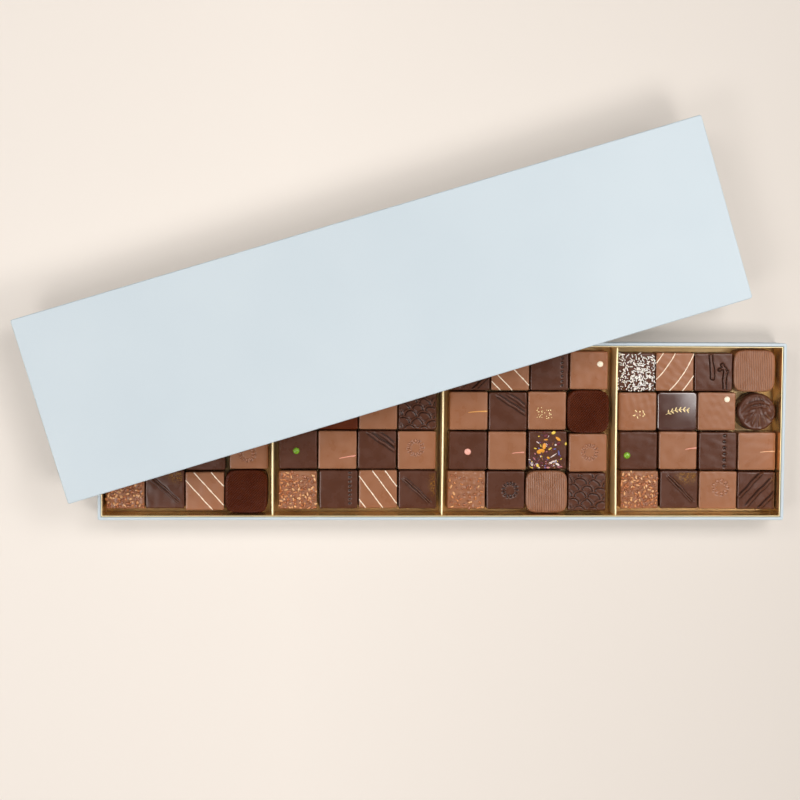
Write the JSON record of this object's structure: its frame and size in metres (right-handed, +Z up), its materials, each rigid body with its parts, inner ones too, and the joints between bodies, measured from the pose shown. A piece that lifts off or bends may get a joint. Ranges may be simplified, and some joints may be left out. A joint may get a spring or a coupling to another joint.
{
  "type": "box of chocolate pralines",
  "caption": "Long paper-covered tray of chocolate pralines in gold-lined compartments, with its loose lid lying askew on the rim.",
  "frame": {"origin": "centre of the tray's underside", "axes": "+X along the tray to its right end, +Y to the back, +Z up"},
  "size_m": [0.4856, 0.2545, 0.0517],
  "materials": {
    "blue_paper": "matte",
    "gold_card": "satin",
    "milk_chocolate": "satin",
    "dark_chocolate": "satin",
    "bitter_chocolate": "satin"
  },
  "bodies": {
    "root": {"bead_column_b42": "dark_chocolate", "bead_column_c13": "dark_chocolate", "bead_column_d33": "dark_chocolate", "bead_ring_a34": "milk_chocolate", "bead_ring_b34": "milk_chocolate", "bead_ring_c34": "milk_chocolate", "bead_ring_c42": "dark_chocolate", "bead_ring_d43": "milk_chocolate", "coconut_d11": "dark_chocolate", "combed_a44": "bitter_chocolate", "combed_c24": "bitter_chocolate", "combed_c43": "milk_chocolate", "combed_d14": "milk_chocolate", "cream_dot_c14": "milk_chocolate", "cream_dot_d23": "milk_chocolate", "divider_1": "gold_card", "divider_2": "gold_card", "divider_3": "gold_card", "drips_d13": "dark_chocolate", "drizzle_a43": "milk_chocolate", "drizzle_b43": "milk_chocolate", "drizzle_c12": "milk_chocolate", "drizzle_d12": "milk_chocolate", "fork_ridges_b33": "dark_chocolate", "fork_ridges_c11": "dark_chocolate", "fork_ridges_c22": "dark_chocolate", "fork_ridges_d44": "dark_chocolate", "gold_dash_c21": "milk_chocolate", "gold_dust_a42": "dark_chocolate", "gold_dust_b44": "dark_chocolate", "gold_dust_d42": "dark_chocolate", "gold_leaf_c23": "milk_chocolate", "gold_leaf_d21": "milk_chocolate", "gold_lining": "gold_card", "green_dot_b31": "dark_chocolate", "green_dot_d31": "dark_chocolate", "lid": "blue_paper", "nuts_a41": "milk_chocolate", "nuts_b41": "milk_chocolate", "nuts_c41": "milk_chocolate", "nuts_d41": "milk_chocolate", "pale_dash_d34": "milk_chocolate", "petals_c33": "dark_chocolate", "pink_dash_b32": "milk_chocolate", "pink_dash_c32": "milk_chocolate", "pink_dash_d32": "milk_chocolate", "pink_dot_c31": "dark_chocolate", "plain_a33": "dark_chocolate", "plain_b21": "milk_chocolate", "plain_b22": "bitter_chocolate", "plain_b23": "milk_chocolate", "plaque_d22": "dark_chocolate", "quilted_b24": "dark_chocolate", "quilted_c44": "dark_chocolate", "stuck_2_a3": "dark_chocolate", "stuck_4_a1": "dark_chocolate", "stuck_4_a2": "dark_chocolate", "stuck_4_b1": "dark_chocolate", "tray": "blue_paper", "wrinkled_d24": "dark_chocolate"}
  },
  "joints": []
}
